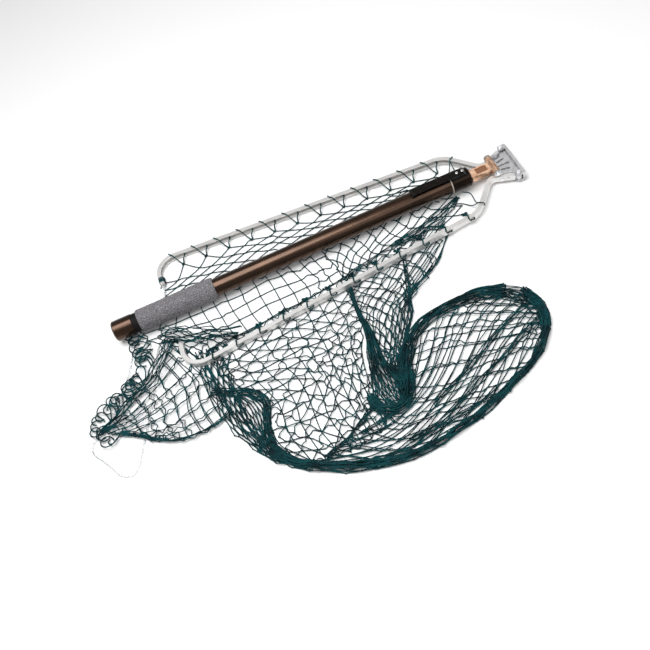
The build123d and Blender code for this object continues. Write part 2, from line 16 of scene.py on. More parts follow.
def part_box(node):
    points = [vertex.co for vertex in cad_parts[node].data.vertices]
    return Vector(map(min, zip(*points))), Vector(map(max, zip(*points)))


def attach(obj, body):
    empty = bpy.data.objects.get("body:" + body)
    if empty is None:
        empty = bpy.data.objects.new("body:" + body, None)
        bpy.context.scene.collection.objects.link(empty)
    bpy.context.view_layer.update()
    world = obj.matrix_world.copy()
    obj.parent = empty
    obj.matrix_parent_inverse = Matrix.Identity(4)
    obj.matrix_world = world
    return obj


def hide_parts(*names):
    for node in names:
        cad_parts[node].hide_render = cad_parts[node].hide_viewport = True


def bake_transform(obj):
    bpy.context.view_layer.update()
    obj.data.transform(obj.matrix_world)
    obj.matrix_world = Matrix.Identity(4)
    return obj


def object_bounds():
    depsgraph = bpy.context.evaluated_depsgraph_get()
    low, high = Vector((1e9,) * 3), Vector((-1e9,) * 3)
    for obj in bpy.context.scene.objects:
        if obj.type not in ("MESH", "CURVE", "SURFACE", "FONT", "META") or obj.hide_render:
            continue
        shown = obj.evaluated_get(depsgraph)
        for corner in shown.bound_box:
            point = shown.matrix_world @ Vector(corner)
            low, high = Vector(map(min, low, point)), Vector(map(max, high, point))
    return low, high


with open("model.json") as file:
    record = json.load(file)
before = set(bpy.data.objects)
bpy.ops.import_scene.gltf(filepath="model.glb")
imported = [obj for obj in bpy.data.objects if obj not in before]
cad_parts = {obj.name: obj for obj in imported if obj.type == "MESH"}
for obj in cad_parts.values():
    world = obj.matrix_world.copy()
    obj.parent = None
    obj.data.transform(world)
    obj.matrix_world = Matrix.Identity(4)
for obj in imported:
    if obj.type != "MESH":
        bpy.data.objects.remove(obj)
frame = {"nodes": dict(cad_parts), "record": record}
cad_low, cad_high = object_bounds()

MM = 0.001

# ------------------------------ places that the CAD model settles
floor_z = -0.019
hinge = Vector((0.565, 0.0, 0.0))
head_lean = radians(0.45)
arm_level = -0.0095
arm_height = 0.008
arm_depth = 0.006
shoulder = (-0.050, 0.061)
tip_corner = (-0.488, 0.1047)
tip_end = (-0.485, 0.057)
lashing_count = 12
lashing_first = 0.009
lashing_pitch = 0.035
knot_inset = 0.0165
knot_forward = 0.005
knot_level = floor_z + 0.00175
cord_radius = 0.00125
cord_level = floor_z + cord_radius + 0.0001

run = Vector((tip_corner[0] - shoulder[0], tip_corner[1] - shoulder[1])).normalized()
run_outward = Vector((run.y, -run.x))

# Netting: the twine's radius, and one side of a mesh from knot to knot
twine = 0.0007
bar_length = 0.0188
bar_points = 6


def head_point(u, v, w):
    """A point of the head's own plane in the part's frame."""
    return Vector(
        (
            hinge.x + u * cos(head_lean) - w * sin(head_lean),
            v,
            u * sin(head_lean) + w * cos(head_lean),
        )
    )


# ------------------------------ camera
def make_camera():
    """Looks down at the net from its right side, rolled so that the handle rises to its head."""
    elevation = radians(52.0)
    azimuth = radians(0.9)
    roll = radians(23.1)
    distance = 1.131
    frame_width = 36.0
    lens_in_frame_widths = 1.3385
    middle = (cad_low + cad_high) / 2
    target = Vector((middle.x + 0.0017, middle.y + 0.0004, floor_z))
    forward = Vector(
        (sin(azimuth) * cos(elevation), cos(azimuth) * cos(elevation), -sin(elevation))
    )
    right = Vector((cos(azimuth), -sin(azimuth), 0.0))
    up = right.cross(forward)
    rolled_right = cos(roll) * right - sin(roll) * up
    rolled_up = sin(roll) * right + cos(roll) * up
    data = bpy.data.cameras.new("camera")
    data.sensor_width = frame_width
    data.lens = lens_in_frame_widths * frame_width
    camera = bpy.data.objects.new("camera", data)
    bpy.context.scene.collection.objects.link(camera)
    turned = Matrix((rolled_right, rolled_up, -forward)).transposed().to_4x4()
    camera.matrix_world = Matrix.Translation(target - forward * distance) @ turned
    bpy.context.scene.camera = camera


make_camera()


# ------------------------------ materials
finishes = {}


def new_finish(name, color, roughness, metallic=0.0):
    """Start the finish of the CAD slot of that name: its node tree and its Principled shader."""
    material = bpy.data.materials.new(name)
    material.use_nodes = True
    finishes[name] = material
    tree = material.node_tree
    shader = tree.nodes["Principled BSDF"]
    shader.inputs["Base Color"].default_value = (*color, 1.0)
    shader.inputs["Roughness"].default_value = roughness
    shader.inputs["Metallic"].default_value = metallic
    return tree, shader


def noise_field(tree, scale, stretch=(1.0, 1.0, 1.0), detail=3.0):
    """Noise over the object's own coordinates, finer by the stretch along each axis."""
    place = tree.nodes.new("ShaderNodeTexCoord")
    mapping = tree.nodes.new("ShaderNodeMapping")
    mapping.inputs["Scale"].default_value = stretch
    tree.links.new(place.outputs["Object"], mapping.inputs["Vector"])
    texture = tree.nodes.new("ShaderNodeTexNoise")
    texture.inputs["Scale"].default_value = scale
    texture.inputs["Detail"].default_value = detail
    tree.links.new(mapping.outputs["Vector"], texture.inputs["Vector"])
    return texture.outputs["Fac"]


def color_range(tree, field, dark, light, low=0.35, high=0.65):
    """A colour that goes from dark to light as the field rises from low to high."""
    ramp = tree.nodes.new("ShaderNodeValToRGB")
    ramp.color_ramp.elements[0].position = low
    ramp.color_ramp.elements[0].color = (*dark, 1.0)
    ramp.color_ramp.elements[1].position = high
    ramp.color_ramp.elements[1].color = (*light, 1.0)
    tree.links.new(field, ramp.inputs["Fac"])
    return ramp.outputs["Color"]


def value_range(tree, field, low, high):
    """A number that goes from low to high as the field goes from a quarter to three quarters."""
    spread = tree.nodes.new("ShaderNodeMapRange")
    spread.inputs["From Min"].default_value = 0.25
    spread.inputs["From Max"].default_value = 0.75
    spread.inputs["To Min"].default_value = low
    spread.inputs["To Max"].default_value = high
    tree.links.new(field, spread.inputs["Value"])
    return spread.outputs["Result"]


def add_bump(tree, shader, field, strength, depth):
    """Relief from the field, depth metres deep."""
    bump = tree.nodes.new("ShaderNodeBump")
    bump.inputs["Strength"].default_value = strength
    bump.inputs["Distance"].default_value = depth
    tree.links.new(field, bump.inputs["Height"])
    tree.links.new(bump.outputs["Normal"], shader.inputs["Normal"])


def drawn_metal(name, dark, light, smooth, rough, metallic=1.0, seal=0.0):
    """Drawn or extruded metal with fine lines along the handle and a cloudy gloss.

    The seal is the share of a clear anodised skin over it.
    """
    tree, shader = new_finish(name, light, rough, metallic)
    shader.inputs["Coat Weight"].default_value = seal
    shader.inputs["Coat Roughness"].default_value = 0.22
    lines = noise_field(tree, 90.0, stretch=(1.0, 60.0, 60.0), detail=4.0)
    clouds = noise_field(tree, 38.0, detail=2.0)
    tree.links.new(color_range(tree, clouds, dark, light), shader.inputs["Base Color"])
    tree.links.new(value_range(tree, lines, smooth, rough), shader.inputs["Roughness"])
    add_bump(tree, shader, lines, 0.2, 0.00002)


def cast_metal(name, dark, light, smooth, rough, metallic, relief):
    """Die-cast and tumbled metal: soft relief, small pits and uneven gloss."""
    tree, shader = new_finish(name, light, rough, metallic)
    clouds = noise_field(tree, 150.0)
    pits = noise_field(tree, 900.0, detail=5.0)
    color = color_range(tree, clouds, dark, light)
    tree.links.new(color, shader.inputs["Base Color"])
    tree.links.new(value_range(tree, clouds, smooth, rough), shader.inputs["Roughness"])
    add_bump(tree, shader, pits, 0.35, relief)
    return tree, shader, color


def recessed_copper(name, dark, light, panel_color):
    """Copper-coloured casting, painted a darker brown on the floor of its recessed panel."""
    tree, shader, plain = cast_metal(name, dark, light, 0.14, 0.26, 0.75, 0.00005)
    panel_floor = 0.0010
    place = tree.nodes.new("ShaderNodeTexCoord")
    split = tree.nodes.new("ShaderNodeSeparateXYZ")
    tree.links.new(place.outputs["Object"], split.inputs["Vector"])
    in_panel = tree.nodes.new("ShaderNodeMath")
    in_panel.operation = "COMPARE"
    in_panel.inputs[1].default_value = panel_floor
    in_panel.inputs[2].default_value = 0.0002
    tree.links.new(split.outputs["Z"], in_panel.inputs[0])
    # The floor of the recessed panel, found by its height, is painted a darker brown
    mixed = tree.nodes.new("ShaderNodeMix")
    mixed.data_type = "RGBA"
    mixed.inputs["B"].default_value = (*panel_color, 1.0)
    tree.links.new(in_panel.outputs["Value"], mixed.inputs["Factor"])
    tree.links.new(plain, mixed.inputs["A"])
    tree.links.new(mixed.outputs["Result"], shader.inputs["Base Color"])


def moulded(name, dark, light, rough, shine=0.5, grain_scale=1400.0):
    """Moulded plastic, rubber or enamel with a fine grain."""
    tree, shader = new_finish(name, light, rough)
    shader.inputs["Specular IOR Level"].default_value = shine
    clouds = noise_field(tree, 220.0)
    grain = noise_field(tree, grain_scale, detail=4.0)
    gloss = value_range(tree, grain, rough * 0.85, rough * 1.1)
    tree.links.new(color_range(tree, clouds, dark, light), shader.inputs["Base Color"])
    tree.links.new(gloss, shader.inputs["Roughness"])
    add_bump(tree, shader, grain, 0.3, 0.00005)


def pebbled_rubber(name, dark, light):
    """Grip rubber: pebbles with painted shade darkening the creases between them and lighter tops,
    plus random lighter worn patches.
    """
    tree, shader = new_finish(name, light, 0.6)
    shader.inputs["Specular IOR Level"].default_value = 0.45
    place = tree.nodes.new("ShaderNodeTexCoord")
    creases = tree.nodes.new("ShaderNodeTexVoronoi")
    creases.feature = "DISTANCE_TO_EDGE"
    creases.inputs["Scale"].default_value = 330.0
    tree.links.new(place.outputs["Object"], creases.inputs["Vector"])
    wear = value_range(tree, noise_field(tree, 700.0), 0.0, 0.35)
    height = tree.nodes.new("ShaderNodeMath")
    height.operation = "MULTIPLY_ADD"
    height.inputs[1].default_value = 2.0
    tree.links.new(creases.outputs["Distance"], height.inputs[0])
    tree.links.new(wear, height.inputs[2])
    # Painted shade: the colour darkens down into the creases and lightens on the pebble tops; the
    # noise adds random worn patches
    color = color_range(tree, height.outputs["Value"], dark, light, 0.05, 0.85)
    tree.links.new(color, shader.inputs["Base Color"])
    add_bump(tree, shader, height.outputs["Value"], 0.9, 0.0008)


def clear_plastic(name, color, transmission, rough):
    """Clear or milky nylon."""
    tree, shader = new_finish(name, color, rough)
    shader.inputs["Transmission Weight"].default_value = transmission
    shader.inputs["IOR"].default_value = 1.5
    gloss = value_range(tree, noise_field(tree, 500.0), rough * 0.7, rough * 1.3)
    tree.links.new(gloss, shader.inputs["Roughness"])


def laid_twine(name, dark, light):
    """Laid twine: a spiral lay from the strands' own UVs, and sun-faded patches."""
    tree, shader = new_finish(name, light, 0.7)
    shader.inputs["Specular IOR Level"].default_value = 0.18
    base = color_range(tree, noise_field(tree, 55.0), dark, light, 0.36, 0.66)
    place = tree.nodes.new("ShaderNodeTexCoord")
    lay = tree.nodes.new("ShaderNodeTexWave")
    lay.bands_direction = "DIAGONAL"
    lay.inputs["Scale"].default_value = 0.9
    lay.inputs["Distortion"].default_value = 0.6
    tree.links.new(place.outputs["UV"], lay.inputs["Vector"])
    groove = tree.nodes.new("ShaderNodeMix")
    groove.data_type = "RGBA"
    groove.blend_type = "MULTIPLY"
    groove.inputs["Factor"].default_value = 0.55
    shade = color_range(tree, lay.outputs["Fac"], (0.45, 0.5, 0.5), (1.0, 1.0, 1.0), 0.1, 0.6)
    tree.links.new(base, groove.inputs["A"])
    tree.links.new(shade, groove.inputs["B"])
    tree.links.new(groove.outputs["Result"], shader.inputs["Base Color"])
    add_bump(tree, shader, lay.outputs["Fac"], 0.6, 0.00015)


drawn_metal("bronze_anodised", (0.040, 0.019, 0.009), (0.056, 0.027, 0.014), 0.22, 0.32, seal=0.45)
drawn_metal("dark_anodised", (0.011, 0.006, 0.0035), (0.018, 0.010, 0.006), 0.26, 0.36, seal=0.15)
drawn_metal("satin_aluminium", (0.68, 0.67, 0.655), (0.77, 0.76, 0.745), 0.34, 0.44, 0.62)
cast_metal("cast_alloy", (0.44, 0.44, 0.45), (0.64, 0.64, 0.65), 0.20, 0.34, 0.8, 0.00004)
cast_metal("bright_steel", (0.66, 0.66, 0.68), (0.84, 0.84, 0.86), 0.10, 0.22, 0.8, 0.00003)
recessed_copper("copper_cast", (0.52, 0.28, 0.17), (0.90, 0.62, 0.44), (0.27, 0.13, 0.07))
pebbled_rubber("grip_rubber", (0.080, 0.076, 0.083), (0.27, 0.26, 0.275))
moulded("black_rubber", (0.005, 0.005, 0.005), (0.010, 0.009, 0.009), 0.6, 0.12)
moulded("black_plastic", (0.012, 0.012, 0.012), (0.020, 0.020, 0.020), 0.45)
moulded("pale_plastic", (0.42, 0.37, 0.31), (0.52, 0.47, 0.40), 0.35)
moulded("black_enamel", (0.004, 0.0035, 0.003), (0.009, 0.007, 0.006), 0.30, 0.12, 800.0)
clear_plastic("clear_line", (0.93, 0.95, 0.96), 0.75, 0.12)
clear_plastic("clear_plastic", (0.86, 0.87, 0.85), 0.35, 0.3)
laid_twine("twine", (0.0007, 0.018, 0.023), (0.0022, 0.062, 0.071))


# Each CAD node takes the finish of its own slot
for subpart in frame["record"]["subparts"]:
    node = frame["nodes"][subpart["node"]]
    node.data.materials.clear()
    node.data.materials.append(finishes[subpart["material_slot"]])


# ------------------------------ meshes from arrays
class Bundle:
    """Vertices, faces and face-corner UVs of many small shapes that make one piece."""

    def __init__(self):
        self.points = []
        self.faces = []
        self.uvs = []
        self.count = 0

    def add(self, points, faces, uvs):
        """Append shapes: points (n, 3), faces of equal size (m, k), and their UVs (m, k, 2)."""
        self.points.append(points)
        self.faces.append(faces + self.count)
        self.uvs.append(uvs)
        self.count += len(points)

    def piece(self, name, slot):
        """The finished object, in the finish of a CAD slot."""
        mesh = bpy.data.meshes.new(name)
        faces = [tuple(f) for block in self.faces for f in block.tolist()]
        mesh.from_pydata(np.vstack(self.points).tolist(), [], faces)
        corner_uvs = np.vstack([block.reshape(-1, 2) for block in self.uvs])
        layer = mesh.uv_layers.new(name="UVMap")
        layer.data.foreach_set("uv", corner_uvs.astype(np.float32).ravel())
        mesh.polygons.foreach_set("use_smooth", np.ones(len(faces), dtype=bool))
        mesh.materials.append(finishes[slot])
        mesh.update()
        made = bpy.data.objects.new(name, mesh)
        bpy.context.scene.collection.objects.link(made)
        return made


def unit(vectors):
    """Each vector divided by its length."""
    lengths = np.linalg.norm(vectors, axis=-1, keepdims=True)
    return vectors / np.maximum(lengths, 1e-9)


def add_tubes(bundle, paths, radius, sides=5):
    """One round strand along each path: paths has (strand, point, 3)."""
    count, steps = paths.shape[:2]
    tangent = unit(np.gradient(paths, axis=1))
    # A strand that stands up is framed from the side instead of from above
    upright = np.abs(tangent[..., 2:3]) > 0.9
    reference = np.where(upright, np.array([1.0, 0.0, 0.0]), np.array([0.0, 0.0, 1.0]))
    side = unit(np.cross(tangent, reference))
    normal = np.cross(side, tangent)
    angle = np.arange(sides) * 2 * pi / sides
    ring = (
        paths[:, :, None]
        + radius * np.cos(angle)[None, None, :, None] * side[:, :, None]
        + radius * np.sin(angle)[None, None, :, None] * normal[:, :, None]
    )
    here = np.arange(count * steps * sides).reshape(count, steps, sides)
    there = np.roll(here, -1, axis=2)
    quads = np.stack([here[:, :-1], there[:, :-1], there[:, 1:], here[:, 1:]], axis=-1)
    # The UVs advance by one unit in each twelve radii
    along = np.cumsum(np.linalg.norm(np.diff(paths, axis=1), axis=-1), axis=1) / (12 * radius)
    along = np.concatenate([np.zeros((count, 1)), along], axis=1)
    around = np.arange(sides) / sides
    shape = (count, steps - 1, sides)
    before = np.broadcast_to(along[:, :-1, None], shape)
    after = np.broadcast_to(along[:, 1:, None], shape)
    left = np.broadcast_to(around, shape)
    right = left + 1 / sides
    corners = ((before, left), (before, right), (after, right), (after, left))
    uvs = np.stack([np.stack(corner, -1) for corner in corners], axis=-2)
    bundle.add(ring.reshape(-1, 3), quads.reshape(-1, 4), uvs.reshape(-1, 4, 2))
    caps = np.concatenate([here[:, 0, ::-1], here[:, -1]])
    bundle.faces.append(caps + bundle.count - here.size)
    bundle.uvs.append(np.zeros((len(caps), sides, 2)))


def ball_template():
    """Unit icosahedron: its corners and faces."""
    form = bmesh.new()
    bmesh.ops.create_icosphere(form, subdivisions=1, radius=1.0)
    corners = np.array([v.co[:] for v in form.verts])
    faces = np.array([[v.index for v in f.verts] for f in form.faces])
    form.free()
    return corners, faces


ball_corners, ball_faces = ball_template()


def spun(points, turn):
    """Rows of points, each row turned about the vertical by its own angle."""
    cosine = np.cos(turn)[:, None]
    sine = np.sin(turn)[:, None]
    x = points[..., 0] * cosine - points[..., 1] * sine
    y = points[..., 0] * sine + points[..., 1] * cosine
    return np.stack([x, y, np.broadcast_to(points[..., 2], x.shape)], -1)


def add_knots(bundle, places, size, generator):
    """A small hitch at each place: a lumpy core with one turn of twine across it."""
    count = len(places)
    turn = generator.uniform(0, 2 * pi, count)
    scale = size * generator.uniform(0.85, 1.15, (count, 3)) * np.array([1.15, 0.95, 0.85])
    core = spun(ball_corners[None] * scale[:, None], turn)
    points = (places[:, None] + core).reshape(-1, 3)
    faces = ball_faces[None] + (np.arange(count) * len(ball_corners))[:, None, None]
    faces = faces.reshape(-1, 3)
    bundle.add(points, faces, np.zeros((len(faces), 3, 2)))
    # The turn of twine leans over the core
    angle = np.linspace(0.0, 1.7 * pi, 6)
    loop = np.stack([np.cos(angle), np.sin(angle) * 0.8, np.sin(angle + 0.6) * 0.45], -1)
    loop = spun(loop[None] * size * 0.95, turn)
    add_tubes(bundle, places[:, None] + loop, size * 0.45, 3)


# ------------------------------ netting
def spline_weights(count, t):
    """Weight of each of count evenly spaced control points at t, on a smooth curve through them."""
    x = np.clip(t, 0, 1) * (count - 1)
    first = np.minimum(x.astype(int), count - 2)
    f = x - first
    weights = np.zeros((len(t), count + 2))
    rows = np.arange(len(t))
    weights[rows, first] += 0.5 * (-f + 2 * f**2 - f**3)
    weights[rows, first + 1] += 0.5 * (2 - 5 * f**2 + 3 * f**3)
    weights[rows, first + 2] += 0.5 * (f + 4 * f**2 - 3 * f**3)
    weights[rows, first + 3] += 0.5 * (-(f**2) + f**3)
    # The outermost two stand for neighbours mirrored through the ends
    weights[:, 1] += 2 * weights[:, 0]
    weights[:, 2] -= weights[:, 0]
    weights[:, -2] += 2 * weights[:, -1]
    weights[:, -3] -= weights[:, -1]
    return weights[:, 1:-1]


def on_patch(grid, s, t):
    """Places (x, y) on the smooth patch through a grid of control points, s across and t down."""
    across = spline_weights(grid.shape[1], s)
    down = spline_weights(grid.shape[0], t)
    return np.einsum("nr,nc,rcd->nd", down, across, grid)


def on_band(route, half_widths, s, t):
    """Places (x, y) on a band along a route: s along it, t from one edge to the other."""
    along = spline_weights(len(route), s)
    ahead = spline_weights(len(route), np.clip(s + 0.01, 0, 1))
    behind = spline_weights(len(route), np.clip(s - 0.01, 0, 1))
    direction = unit((ahead - behind) @ route)
    outward = np.stack([-direction[:, 1], direction[:, 0]], -1)
    width = along @ half_widths
    return along @ route + outward * (width * (2 * t - 1))[:, None]


def diamond_meshes(columns, rows):
    """Knots (s, t) of diamond netting in a unit square, and its bars as runs of four knots.

    A bar joins the middle two of its four knots, and the outer two give the directions in which
    its strand arrives and leaves.
    """
    s, t = [], []
    number = {}
    for j in range(rows + 1):
        for i in range(columns + 1 - j % 2):
            number[j, 2 * i + j % 2] = len(s)
            s.append((2 * i + j % 2) / (2 * columns))
            t.append(j / rows)
    bars = []
    for (j, k), here in number.items():
        for lean in (-1, 1):
            there = number.get((j + 1, k + lean))
            if there is not None:
                before = number.get((j - 1, k - lean), -1)
                after = number.get((j + 2, k + 2 * lean), -1)
                bars.append((before, here, there, after))
    return np.array(s), np.array(t), np.array(bars)


def square_meshes(columns, rows):
    """The same for netting pulled square."""
    s, t = [], []
    number = {}
    for j in range(rows + 1):
        for i in range(columns + 1):
            number[j, i] = len(s)
            s.append(i / columns)
            t.append(j / rows)
    bars = []
    for (j, i), here in number.items():
        for down, across in ((0, 1), (1, 0)):
            there = number.get((j + down, i + across))
            if there is not None:
                before = number.get((j - down, i - across), -1)
                after = number.get((j + 2 * down, i + 2 * across), -1)
                bars.append((before, here, there, after))
    return np.array(s), np.array(t), np.array(bars)


def smooth_wander(places, scale, seed):
    """Three smooth fields from -1 to 1 over the places, for netting that lies unevenly."""
    fields = []
    for shift in (0.0, 31.7, 57.3):
        offset = Vector((seed * 7.3 + shift, seed * 3.1 - shift, seed * 1.7 + shift))
        fields.append([noise.noise(Vector((x, y, 0.0)) / scale + offset) for x, y in places])
    return np.array(fields).T


def segment_distance(places, first, last):
    """Distance from each place (x, y), on either side, to a straight run of the left arm."""
    leg = np.array([last[0] - first[0], last[1] - first[1]])
    length = np.linalg.norm(leg)
    leg = leg / length
    relative = np.column_stack([places[:, 0] - hinge.x - first[0], np.abs(places[:, 1]) - first[1]])
    along = np.clip(relative @ leg, 0, length)
    return np.linalg.norm(relative - along[:, None] * leg, axis=1)


def arm_distance(places):
    """Distance from each place to the centre line of the nearer arm."""
    run_gap = segment_distance(places, shoulder, tip_corner)
    tip_gap = segment_distance(places, tip_corner, tip_end)
    return np.minimum(run_gap, tip_gap)


def ceiling(places):
    """The highest that netting may lie under the arms, the grip and the handle tube."""
    open_height = 0.02
    side_gap = 0.003
    grip_half_width = 0.0165
    grip_under = -0.0167
    handle_end = 0.535
    top = np.full(len(places), open_height)
    arm_under = (places[:, 0] - hinge.x) * sin(head_lean) + arm_level - arm_height / 2
    near_arm = arm_distance(places) < arm_depth / 2 + side_gap
    top = np.where(near_arm, np.minimum(top, arm_under - twine), top)
    near_handle = (np.abs(places[:, 1]) < grip_half_width) & (places[:, 0] < handle_end)
    top = np.where(near_handle, np.minimum(top, grip_under), top)
    return np.maximum(top, floor_z + twine)


def lay_netting(
    bundle,
    shape,
    lattice,
    seed,
    wander=0.003,
    wander_scale=0.04,
    jitter=0.0005,
    base=0.0,
    loft=0.002,
    dome=0.0,
    wave=0.6,
    first_row=None,
    over=False,
):
    """Netting over a patch or band: knots from a lattice, and bars with their real slack.

    Knots stray by wander over wander_scale and by jitter on their own.  They lie base above the
    floor, plus up to loft at random and up to dome in the middle of a band.  The wave is the share
    of a bar's slack that bends it.  The first row may be given, and netting that is over the arms
    has no ceiling.
    """
    generator = np.random.default_rng(seed)
    s, t, pairs = lattice
    places = shape(s, t)
    field = smooth_wander(places, wander_scale, seed)
    places = places + field[:, :2] * wander + generator.normal(0, jitter, places.shape)
    lifted = generator.uniform(0, 1, len(places)) ** 1.5 * loft
    arch = np.sqrt(np.clip(1 - (2 * t - 1) ** 2, 0, 1)) * dome * generator.uniform(0.1, 1, len(t))
    height = floor_z + twine + base + lifted + arch
    if not over:
        height = np.minimum(height, ceiling(places))
    knots = np.column_stack([places, height])
    if first_row is not None:
        knots[: len(first_row)] = first_row
    start = knots[pairs[:, 1]]
    end = knots[pairs[:, 2]]
    chord = end - start
    before = np.where(pairs[:, :1] < 0, start - chord, knots[pairs[:, 0]])
    after = np.where(pairs[:, 3:] < 0, end + chord, knots[pairs[:, 3]])
    length = np.linalg.norm(chord, axis=1)
    leaving = unit(end - before) * length[:, None]
    arriving = unit(after - start) * length[:, None]
    most_slack = 0.3 * bar_length
    slack = np.clip(bar_length - length, 0, most_slack)
    # A shallow arc that is longer than its chord by the slack stands off it by this much
    sway = np.sqrt(0.375 * length * slack) * wave
    lean_scale = 0.022
    lean = smooth_wander(((start + end) / 2)[:, :2], lean_scale, seed + 11)
    side = unit(np.column_stack([-chord[:, 1], chord[:, 0], np.zeros(len(chord))]))
    f = np.linspace(0, 1, bar_points)[None, :, None]
    paths = (
        (1 - 3 * f**2 + 2 * f**3) * start[:, None]
        + (3 * f**2 - 2 * f**3) * end[:, None]
        + (f - 2 * f**2 + f**3) * leaving[:, None]
        + (f**3 - f**2) * arriving[:, None]
    )
    hump = np.sin(pi * f[..., 0]) ** 2
    ess = np.sin(2 * pi * f[..., 0]) * hump
    bend = np.clip(lean[:, 0] * 2.0, -1, 1)[:, None] * hump + (lean[:, 1] * 0.7)[:, None] * ess
    paths = paths + side[:, None] * (bend * sway[:, None])[..., None]
    paths[..., 2] += np.abs(lean[:, 2])[:, None] * sway[:, None] * hump * 0.5
    if not over:
        limit = ceiling(paths[..., :2].reshape(-1, 2)).reshape(paths.shape[:2])
        paths[..., 2] = np.minimum(paths[..., 2], limit)
    paths[..., 2] = np.maximum(paths[..., 2], floor_z + twine)
    add_tubes(bundle, paths, twine, 5)
    joined = np.unique(pairs[:, 1:3].ravel())
    add_knots(bundle, knots[joined], twine * 1.4, generator)


def patch(*rows):
    """A shape function from rows of control points in millimetres."""
    grid = np.array(rows, float) * MM
    return lambda s, t: on_patch(grid, s, t)


def band(route, half_widths):
    """A shape function from a route and its half widths in millimetres."""
    line_points = np.array(route, float) * MM
    widths = np.array(half_widths, float) * MM
    return lambda s, t: on_band(line_points, widths, s, t)


def gather(bundle, route, half_widths, strands, seed, dome=0.006, **more):
    """Netting drawn together along a route: its diamonds close, so the bars run along it."""
    points = np.array(route, float) * MM
    length = np.linalg.norm(np.diff(points, axis=0), axis=1).sum()
    closed_mesh = 1.86 * bar_length
    lattice = diamond_meshes(max(2, round(length / closed_mesh)), strands)
    settings = dict(wander=0.0030, wander_scale=0.06, jitter=0.0006, loft=0.003, wave=0.35)
    settings.update(more)
    lay_netting(bundle, band(route, half_widths), lattice, seed, dome=dome, **settings)


def lashing_knots(side):
    """Places of the knots that tie the net to one arm, from the tip to the shoulder."""
    found = []
    for i in reversed(range(lashing_count)):
        along = lashing_first + i * lashing_pitch + knot_forward
        u = shoulder[0] + run.x * along - run_outward.x * knot_inset
        v = shoulder[1] + run.y * along - run_outward.y * knot_inset
        where = head_point(u, v, arm_level)
        found.append((where.x, where.y * side, knot_level))
    return np.array(found)


left_knots = lashing_knots(1)
right_knots = lashing_knots(-1)


def shoulder_tie(side):
    """Two strands from a wrap over the arm's shoulder down to the netting beside the handle."""
    wrap = [(527.7, 51.8, -9.5), (527.3, 51.5, -4.9), (524.5, 49.4, -4.4), (521.4, 46.8, -5.0)]
    ends = (
        [(522, 34, -15.5), (523, 14, -17.9), (515, 6, -18.1)],
        [(515, 38, -15.5), (505, 25, -17.8), (494, 20, -18.0)],
    )
    strands = []
    for end in ends:
        points = np.array(wrap + end) * MM
        points[:, 1] *= side
        strands.append(spline_weights(len(points), np.linspace(0, 1, 24)) @ points)
    return np.array(strands)


def build_mouth_left():
    """The half of the mouth between the left arm and the handle: wide flat diamonds."""
    bundle = Bundle()
    tip = np.array([[0.082, 0.064, floor_z + 0.0018]])
    shape = patch(
        [(82, 64), (190, 76), (295, 66), (400, 56), (504, 45)],
        [(76, 45), (185, 53), (290, 47), (395, 40), (500, 31)],
        [(68, 24), (180, 28), (285, 24), (390, 19), (490, 15)],
        [(52, 4), (175, -4), (280, -4), (385, -4), (480, -4)],
    )
    uneven = dict(wander=0.004, wander_scale=0.06, loft=0.0012)
    tied = np.vstack([tip, left_knots])
    lay_netting(bundle, shape, diamond_meshes(12, 10), seed=3, first_row=tied, **uneven)
    # A few slack meshes lie doubled next to the shoulder
    doubled = patch(
        [(420, 46), (450, 41), (480, 36), (502, 31)],
        [(418, 33), (448, 29), (476, 25), (498, 20)],
        [(414, 20), (444, 17), (472, 14), (492, 10)],
    )
    lay_netting(bundle, doubled, diamond_meshes(3, 3), seed=5, wander=0.003, base=0.0006, loft=0.001)
    add_tubes(bundle, shoulder_tie(1), twine, 6)
    return bundle.piece("mouth_left_netting", "twine")


def build_mouth_right():
    """The half of the mouth between the handle and the right arm."""
    bundle = Bundle()
    near_grip = patch(
        [(48, 6), (100, 6), (150, 6), (205, 6), (255, 6), (300, 6)],
        [(34, -14), (98, -20), (150, -22), (208, -20), (262, -20), (306, -18)],
        [(45, -34), (106, -42), (155, -50), (212, -46), (268, -44), (312, -42)],
        [(72, -44), (122, -62), (162, -80), (215, -74), (266, -69), (313, -64)],
    )
    uneven = dict(wander=0.004, wander_scale=0.055, wave=1.3)
    lay_netting(bundle, near_grip, square_meshes(14, 4), seed=7, loft=0.0012, **uneven)
    towards_head = patch(
        [(300, 6), (350, 6), (400, 6), (450, 6), (508, 4)],
        [(306, -18), (347, -20), (390, -20), (440, -20), (505, -14)],
        [(312, -42), (338, -42), (376, -38), (430, -35), (502, -30)],
        [(314, -63), (338, -60), (372, -57), (430, -51), (499, -45)],
    )
    lay_netting(bundle, towards_head, diamond_meshes(9, 6), seed=9, wander=0.004, loft=0.0012)
    # Meshes bunched along the inside of the right arm
    bunch = [(506, -10), (480, -26), (450, -37), (420, -44), (392, -47)]
    gather(bundle, bunch, [4, 9, 9, 6, 3], 7, seed=13, dome=0.003)
    thinner = [(412, -45), (372, -51), (332, -58), (313, -66)]
    gather(bundle, thinner, [4, 3, 3, 3], 3, seed=15, dome=0.002)
    # Slack of the ties, knotted again beside each lashing's knot
    beside = [right_knots + np.array([0.0026 * k, 0.0012, 0.0008]) for k in (-1, 1)]
    add_knots(bundle, np.vstack(beside), 0.0019, np.random.default_rng(17))
    add_tubes(bundle, shoulder_tie(-1), twine, 6)
    return bundle.piece("mouth_right_netting", "twine")


